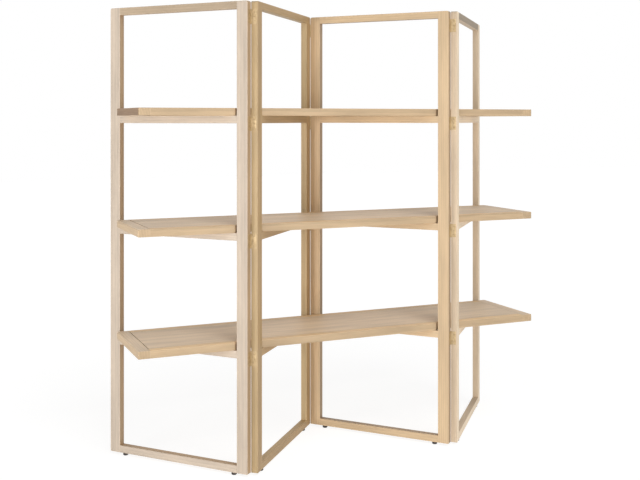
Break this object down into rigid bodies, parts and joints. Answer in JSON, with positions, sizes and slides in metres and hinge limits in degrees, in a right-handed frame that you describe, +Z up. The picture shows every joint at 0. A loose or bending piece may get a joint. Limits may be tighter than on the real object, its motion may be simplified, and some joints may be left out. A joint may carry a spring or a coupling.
{
  "type": "folding etagere",
  "caption": "Folding etagere: tall wooden frames hinged edge to edge in a zigzag, with long straight shelves threaded through their openings and resting on the shelf rails.",
  "frame": {"origin": "on the floor, under the middle of the standing zigzag", "axes": "+X along the shelves to the right, +Y to the back, +Z up"},
  "size_m": [1.9286, 0.5436, 1.98],
  "materials": {
    "frame_wood": "satin clear finish on pale maple",
    "border_wood": "satin clear finish on pale maple",
    "panel_wood": "satin clear finish on pale maple",
    "hinge_brass": "satin lacquered",
    "screw_brass": "satin",
    "glide_plastic": "matt black"
  },
  "bodies": {
    "centre_pins": {"centre_hinge_pins": "hinge_brass"},
    "frame_1": {"frame_1_left_post": "frame_wood", "frame_1_right_post": "frame_wood", "frame_1_top_rail": "frame_wood", "frame_1_upper_shelf_rail": "frame_wood", "frame_1_middle_shelf_rail": "frame_wood", "frame_1_lower_shelf_rail": "frame_wood", "frame_1_bottom_rail": "frame_wood", "frame_1_glides": "glide_plastic", "frame_1_hinge_screws": "screw_brass", "left_hinge_left_leaves": "hinge_brass"},
    "frame_2": {"frame_2_left_post": "frame_wood", "frame_2_right_post": "frame_wood", "frame_2_top_rail": "frame_wood", "frame_2_upper_shelf_rail": "frame_wood", "frame_2_middle_shelf_rail": "frame_wood", "frame_2_lower_shelf_rail": "frame_wood", "frame_2_bottom_rail": "frame_wood", "frame_2_glides": "glide_plastic", "frame_2_hinge_screws": "screw_brass", "left_hinge_right_leaves": "hinge_brass", "left_hinge_pins": "hinge_brass", "centre_hinge_left_leaves": "hinge_brass"},
    "frame_3": {"frame_3_left_post": "frame_wood", "frame_3_right_post": "frame_wood", "frame_3_top_rail": "frame_wood", "frame_3_upper_shelf_rail": "frame_wood", "frame_3_middle_shelf_rail": "frame_wood", "frame_3_lower_shelf_rail": "frame_wood", "frame_3_bottom_rail": "frame_wood", "frame_3_glides": "glide_plastic", "frame_3_hinge_screws": "screw_brass", "centre_hinge_right_leaves": "hinge_brass", "right_hinge_left_leaves": "hinge_brass", "right_hinge_pins": "hinge_brass"},
    "frame_4": {"frame_4_left_post": "frame_wood", "frame_4_right_post": "frame_wood", "frame_4_top_rail": "frame_wood", "frame_4_upper_shelf_rail": "frame_wood", "frame_4_middle_shelf_rail": "frame_wood", "frame_4_lower_shelf_rail": "frame_wood", "frame_4_bottom_rail": "frame_wood", "frame_4_glides": "glide_plastic", "frame_4_hinge_screws": "screw_brass", "right_hinge_right_leaves": "hinge_brass"},
    "bottom_shelf": {"bottom_shelf_left_end": "border_wood", "bottom_shelf_right_end": "border_wood", "bottom_shelf_front_border": "border_wood", "bottom_shelf_back_border": "border_wood", "bottom_shelf_panel": "panel_wood"},
    "middle_shelf": {"middle_shelf_left_end": "border_wood", "middle_shelf_right_end": "border_wood", "middle_shelf_front_border": "border_wood", "middle_shelf_back_border": "border_wood", "middle_shelf_panel": "panel_wood"},
    "top_shelf": {"top_shelf_left_end": "border_wood", "top_shelf_right_end": "border_wood", "top_shelf_front_border": "border_wood", "top_shelf_back_border": "border_wood", "top_shelf_panel": "panel_wood"}
  },
  "joints": [
    {"name": "frame_2_fold", "type": "hinge", "parent": "centre_pins", "child": "frame_2", "pos_m": [0, 0.253, 0], "axis": [0, 0, 1], "range_deg": [0, 41]},
    {"name": "frame_3_fold", "type": "hinge", "parent": "centre_pins", "child": "frame_3", "pos_m": [0, 0.253, 0], "axis": [0, 0, 1], "range_deg": [-41, 0]},
    {"name": "frame_1_fold", "type": "hinge", "parent": "frame_2", "child": "frame_1", "pos_m": [-0.48258, -0.253, 0], "axis": [0, 0, 1], "range_deg": [-82, 0]},
    {"name": "frame_4_fold", "type": "hinge", "parent": "frame_3", "child": "frame_4", "pos_m": [0.48258, -0.253, 0], "axis": [0, 0, 1], "range_deg": [0, 82]},
    {"name": "bottom_shelf_lift", "type": "slide", "parent": "centre_pins", "child": "bottom_shelf", "axis": [0, 0, 1], "range_m": [0, 0.4]},
    {"name": "middle_shelf_lift", "type": "slide", "parent": "centre_pins", "child": "middle_shelf", "axis": [0, 0, 1], "range_m": [0, 0.4]},
    {"name": "top_shelf_lift", "type": "slide", "parent": "centre_pins", "child": "top_shelf", "axis": [0, 0, 1], "range_m": [0, 0.4]}
  ],
  "couplings": [
    {"joint": "frame_3_fold", "follows": "frame_2_fold", "ratio": -1},
    {"joint": "frame_1_fold", "follows": "frame_2_fold", "ratio": -2},
    {"joint": "frame_4_fold", "follows": "frame_2_fold", "ratio": 2}
  ]
}
